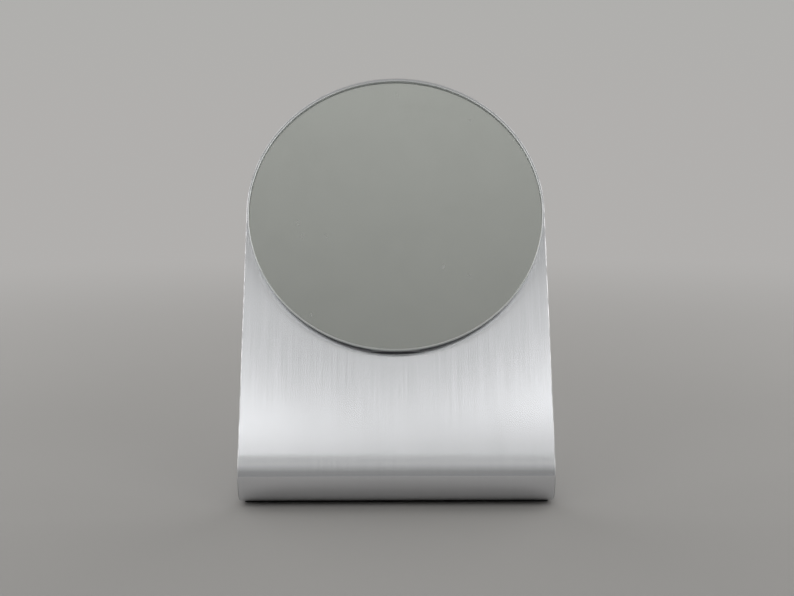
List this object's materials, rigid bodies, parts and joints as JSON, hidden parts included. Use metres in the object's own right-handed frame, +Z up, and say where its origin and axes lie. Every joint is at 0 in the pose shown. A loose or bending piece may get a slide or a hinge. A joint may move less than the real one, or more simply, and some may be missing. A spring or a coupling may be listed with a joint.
{
  "type": "extendable table mirror",
  "caption": "Round shaving mirror on a leaning stand bent from one brushed steel sheet; it pulls forward on a telescopic arm, turns on the tip and tilts on a hinge.",
  "frame": {"origin": "on the table, under the middle of the stand's width and depth", "axes": "+X to the right as seen from the front, +Y to the back, +Z up; the mirror faces -Y and leans back"},
  "size_m": [0.2036, 0.183, 0.2764],
  "materials": {
    "brushed_sheet": "brushed up and down the slope, cut edges polished",
    "pad_rubber": "matte sheet rubber",
    "turned_steel": "turned",
    "fastener_steel": "bright plated",
    "chrome_tube": "polished plating",
    "guide_nylon": "natural nylon",
    "cap_plastic": "fine moulded grain",
    "strap_steel": "brushed lengthways",
    "plate_aluminium": "satin",
    "tape_foam": "soft foam",
    "mirror_silver": "polished",
    "mirror_glass": "polished, with a ground and polished rim"
  },
  "bodies": {
    "stand": {"stand_sheet": "brushed_sheet", "base_pad": "pad_rubber", "arm_flange": "turned_steel", "flange_studs": "fastener_steel", "flange_nuts": "fastener_steel", "housing_tube": "chrome_tube", "housing_guide": "guide_nylon", "housing_cap": "cap_plastic"},
    "outer_stage": {"outer_tube": "chrome_tube", "outer_stop_ring": "guide_nylon", "outer_guide": "guide_nylon"},
    "inner_stage": {"inner_rod": "chrome_tube", "inner_stop_ring": "guide_nylon", "inner_stop_screw": "fastener_steel", "swivel_screw": "fastener_steel", "swivel_washer": "guide_nylon"},
    "carrier": {"carrier_strap": "strap_steel", "hinge_pin": "fastener_steel"},
    "mirror": {"backing_plate": "plate_aluminium", "mirror_tape": "tape_foam", "mirror_silver": "mirror_silver", "mirror_glass": "mirror_glass"}
  },
  "joints": [
    {"name": "outer_slide", "type": "slide", "parent": "stand", "child": "outer_stage", "axis": [0, -0.8829, 0.4695], "range_m": [0, 0.0697]},
    {"name": "inner_slide", "type": "slide", "parent": "outer_stage", "child": "inner_stage", "axis": [0, -0.8829, 0.4695], "range_m": [0, 0.0697]},
    {"name": "mirror_swivel", "type": "hinge", "parent": "inner_stage", "child": "carrier", "pos_m": [0, -0.00691, 0.18358], "axis": [0, -0.8829, 0.4695], "continuous": true},
    {"name": "mirror_tilt", "type": "hinge", "parent": "carrier", "child": "mirror", "pos_m": [0, -0.05393, 0.09918], "axis": [1, 0, 0], "range_deg": [0, 45]}
  ]
}
